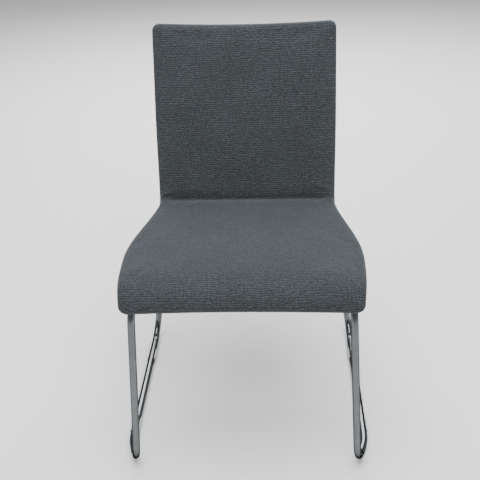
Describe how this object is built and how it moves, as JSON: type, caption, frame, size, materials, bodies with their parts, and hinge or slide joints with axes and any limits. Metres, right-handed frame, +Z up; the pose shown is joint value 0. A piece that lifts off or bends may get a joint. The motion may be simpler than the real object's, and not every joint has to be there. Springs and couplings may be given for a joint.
{
  "type": "stacking chair",
  "caption": "Armless stacking chair: an upholstered moulded shell with a waterfall front and a waisted seat, on a chromed round-tube sled frame",
  "frame": {"origin": "on the floor, under the middle of the chair's bounding box", "axes": "+Z up, the seat faces -Y, +X to the right when the chair is seen from its front"},
  "size_m": [0.5424, 0.5701, 0.854],
  "materials": {
    "chromed_tube": "bright chrome plating on round steel tube",
    "chromed_plate": "chrome plating on flat steel, a little duller than the tube",
    "steel_plug": "bare turned steel, hidden in the tube",
    "zinc_screw": "bright zinc plating",
    "insert_brass": "plain brass, hidden in the shell",
    "plywood": "moulded beech plywood, clear sealed, hidden by the upholstery",
    "foam": "open-cell upholstery foam, hidden by the cover",
    "cover_fabric": "dark blue-grey woven wool cloth with fine broken ribs across the chair",
    "glide_plastic": "translucent moulded plastic"
  },
  "bodies": {
    "root": {"left_side_frame": "chromed_tube", "right_side_frame": "chromed_tube", "left_joint_plug": "steel_plug", "right_joint_plug": "steel_plug", "front_cross_tube": "chromed_tube", "rear_cross_tube": "chromed_tube", "front_left_plate": "chromed_plate", "front_right_plate": "chromed_plate", "rear_left_plate": "chromed_plate", "rear_right_plate": "chromed_plate", "seat_screws": "zinc_screw", "seat_washers": "zinc_screw", "threaded_inserts": "insert_brass", "plywood_shell": "plywood", "seat_foam": "foam", "back_foam": "foam", "front_cover": "cover_fabric", "rear_cover": "cover_fabric", "front_left_glide": "glide_plastic", "front_right_glide": "glide_plastic", "rear_left_glide": "glide_plastic", "rear_right_glide": "glide_plastic"}
  },
  "joints": []
}
